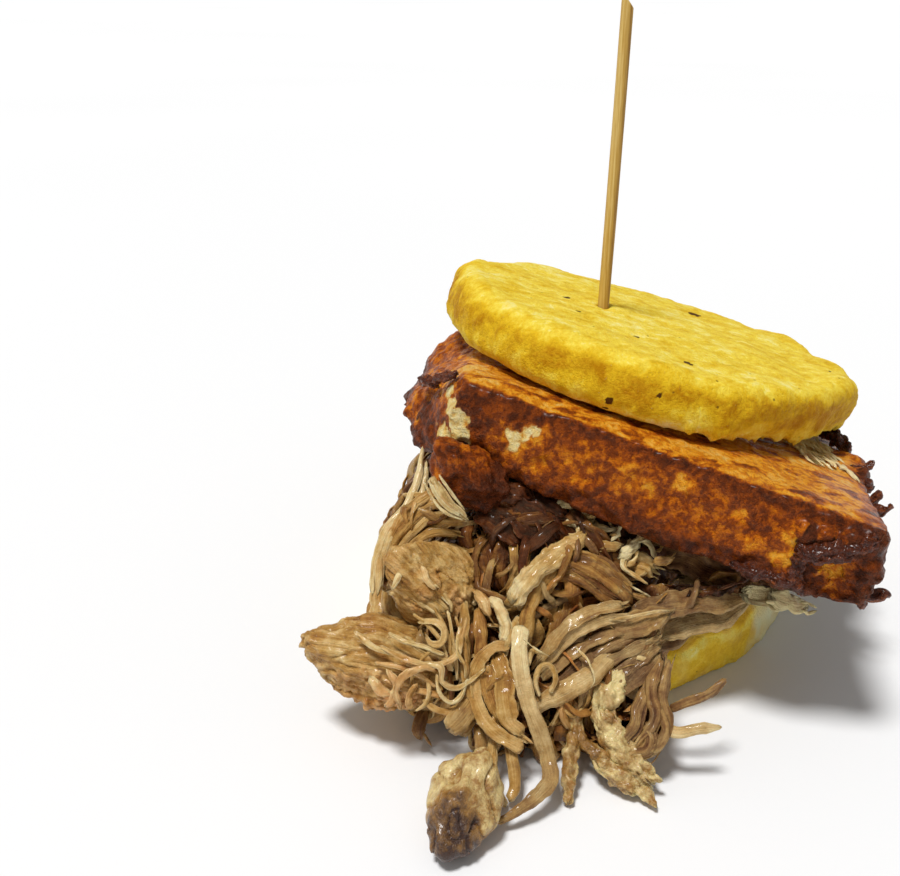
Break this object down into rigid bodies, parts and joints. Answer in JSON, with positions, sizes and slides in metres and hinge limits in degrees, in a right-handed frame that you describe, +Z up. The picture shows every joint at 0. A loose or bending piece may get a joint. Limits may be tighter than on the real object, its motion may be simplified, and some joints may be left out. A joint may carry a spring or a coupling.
{
  "type": "filled corn cake",
  "caption": "Filled corn cake: pulled pork and a slab of browned cheese between yellow corn cakes, held by a bamboo skewer.",
  "frame": {"origin": "middle of the lower cake's flat underside, on the surface it rests on", "axes": "+Z up along the stack; -Y is the front, where the pork spills over; +X is to the right seen from the front, the side the stack leans down to"},
  "size_m": [0.1279, 0.1531, 0.1361],
  "materials": {
    "corn": "soft yellow cooked corn dough, mottled, with small brown specks",
    "cheese_crust": "browned fried cheese, dark red-brown crust over golden orange, slightly oily",
    "pork": "moist cooked pulled pork, stranded, tan to brown",
    "pork_browned": "moist browned pork with a long grain",
    "fat": "wet, slightly clear cooked fat and gristle",
    "bamboo": "pale unfinished bamboo with a straight grain"
  },
  "bodies": {
    "root": {"arepa_lower": "corn", "arepa_upper": "corn", "cheese_slab": "cheese_crust", "cheese_fold": "cheese_crust", "pork_heap": "pork", "pork_chunk_upper": "pork_browned", "pork_chunk_left": "pork_browned", "fat_knob": "fat", "skewer": "bamboo"}
  },
  "joints": []
}
